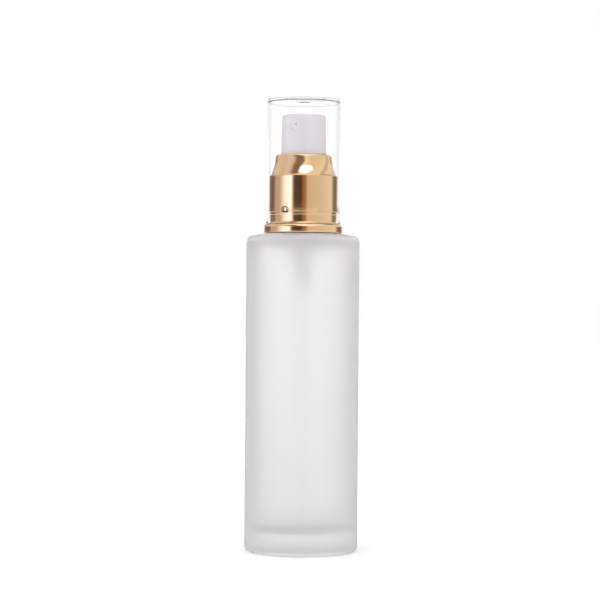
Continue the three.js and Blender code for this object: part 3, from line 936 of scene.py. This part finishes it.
def studio():
    """The world: one room for what polished surfaces mirror, and a softer one for the rest."""
    world = bpy.data.worlds.new("studio")
    world.use_nodes = True
    world.cycles.sampling_method = "NONE"
    bpy.context.scene.world = world
    tree = world.node_tree
    nodes = WorldNodes(tree)
    split = nodes.add("SeparateXYZ")
    tree.links.new(nodes.add("TexCoord").outputs["Generated"], split.inputs[0])
    behind = nodes.math("MULTIPLY", split.outputs["Y"], -1)
    bearing = nodes.math("ARCTAN2", split.outputs["X"], behind)
    share = nodes.math("MULTIPLY_ADD", bearing, 1 / TURN, 0.5)
    up = split.outputs["Z"]
    lean = nodes.math("MULTIPLY_ADD", up, OVERHEAD_LEAN, OVERHEAD_START)
    walls = nodes.table(share, STUDIO)
    above = nodes.table(nodes.math("ADD", share, lean), OVERHEAD)
    mirrored = nodes.mix(nodes.smooth(up, *OVERHEAD_RISE), walls, above)
    across = nodes.math("MULTIPLY_ADD", bearing, 1 / math.radians(SOFTBOX_WIDTH),
                        -SOFTBOX_BEARING / SOFTBOX_WIDTH)
    upwards = nodes.math("MULTIPLY_ADD", up, 1 / SOFTBOX_HEIGHT, -SOFTBOX_RISE / SOFTBOX_HEIGHT)
    leaning = nodes.math("MULTIPLY_ADD", upwards, SOFTBOX_LEAN, across)
    off = nodes.math("SQRT", nodes.math(
        "ADD", nodes.math("MULTIPLY", leaning, leaning), nodes.math("MULTIPLY", upwards, upwards)
    ))
    mirrored = nodes.mix(nodes.smooth(off, *SOFTBOX_EDGE), mirrored, tinted(SOFTBOX))
    mirrored = nodes.mix(nodes.smooth(up, *CEILING_RISE), mirrored, grey(CEILING))
    path = nodes.add("LightPath")
    bounced = nodes.math("GREATER_THAN", path.outputs["Diffuse Depth"], 0.5)
    reflected = nodes.math("GREATER_THAN", path.outputs["Glossy Depth"], 0.5)
    through = nodes.mix(nodes.smooth(up, 0.1, 0.7), grey(SEEN_THROUGH), grey(SEEN_ABOVE))
    soft = nodes.mix(nodes.smooth(behind, -0.6, 1), tinted(SOFT_SIDE), tinted(SOFT_FRONT))
    soft = nodes.mix(bounced, through, soft)
    rightwards = nodes.smooth(split.outputs["X"], -1, 1)
    soft = nodes.mix(rightwards, soft, nodes.dimmed(soft, RIGHT_SHARE))
    polished = nodes.math("MULTIPLY", reflected, nodes.math("SUBTRACT", 1, bounced))
    room = nodes.mix(polished, soft, mirrored)
    backdrop = nodes.mix(path.outputs["Is Camera Ray"], room, grey(1))
    tree.links.new(backdrop, tree.nodes["Background"].inputs["Color"])
    tree.nodes["Background"].inputs["Strength"].default_value = STUDIO_PEAK


def floor():
    size = 3
    verts = [(-size, -size, 0), (size, -size, 0), (size, size, 0), (-size, size, 0)]
    obj = mesh_object("floor", verts, [(0, 1, 2, 3)])
    s = Shader("floor_paper", Roughness=0.9, Emission_Strength=0.2)
    s.surface.inputs["Emission Color"].default_value = (1, 1, 1, 1)
    s.colour(s.noise(40, 2), (0.90, 0.90, 0.90), (0.93, 0.93, 0.93))
    paint(obj, s.material)


def view_settings():
    scene = bpy.context.scene
    scene.view_settings.view_transform = "Standard"
    scene.view_settings.look = "None"
    scene.cycles.transmission_bounces = 24
    scene.cycles.glossy_bounces = 12
    scene.cycles.max_bounces = 24


camera()
view_settings()
studio()
floor()

white = white_plastic()
natural = natural_plastic()
glass_bottle(
    frosted_glass("frosted_glass_outside", 0.78),
    clear_glass(),
    frosted_glass("frosted_glass_under_collar", 0.1),
    frosted_glass("frosted_glass_shoulder", 0.6),
)
closure(natural)
collar(gold_metal())
press_head(white)
nozzle(white)
# The rim, nub rings and lid band take darker copies of the clear plastic: painted shade for the
# light lost at those edges.
overcap(
    clear_plastic("clear_moulded_plastic"),
    clear_plastic("clear_plastic_corner", 0.22),
    clear_plastic("clear_plastic_nub_side", 0.62),
    clear_plastic("clear_plastic_lid_edge", 0.5),
)
pump(natural, white, seal_plastic(), tube_plastic(), gasket_foam(), steel())
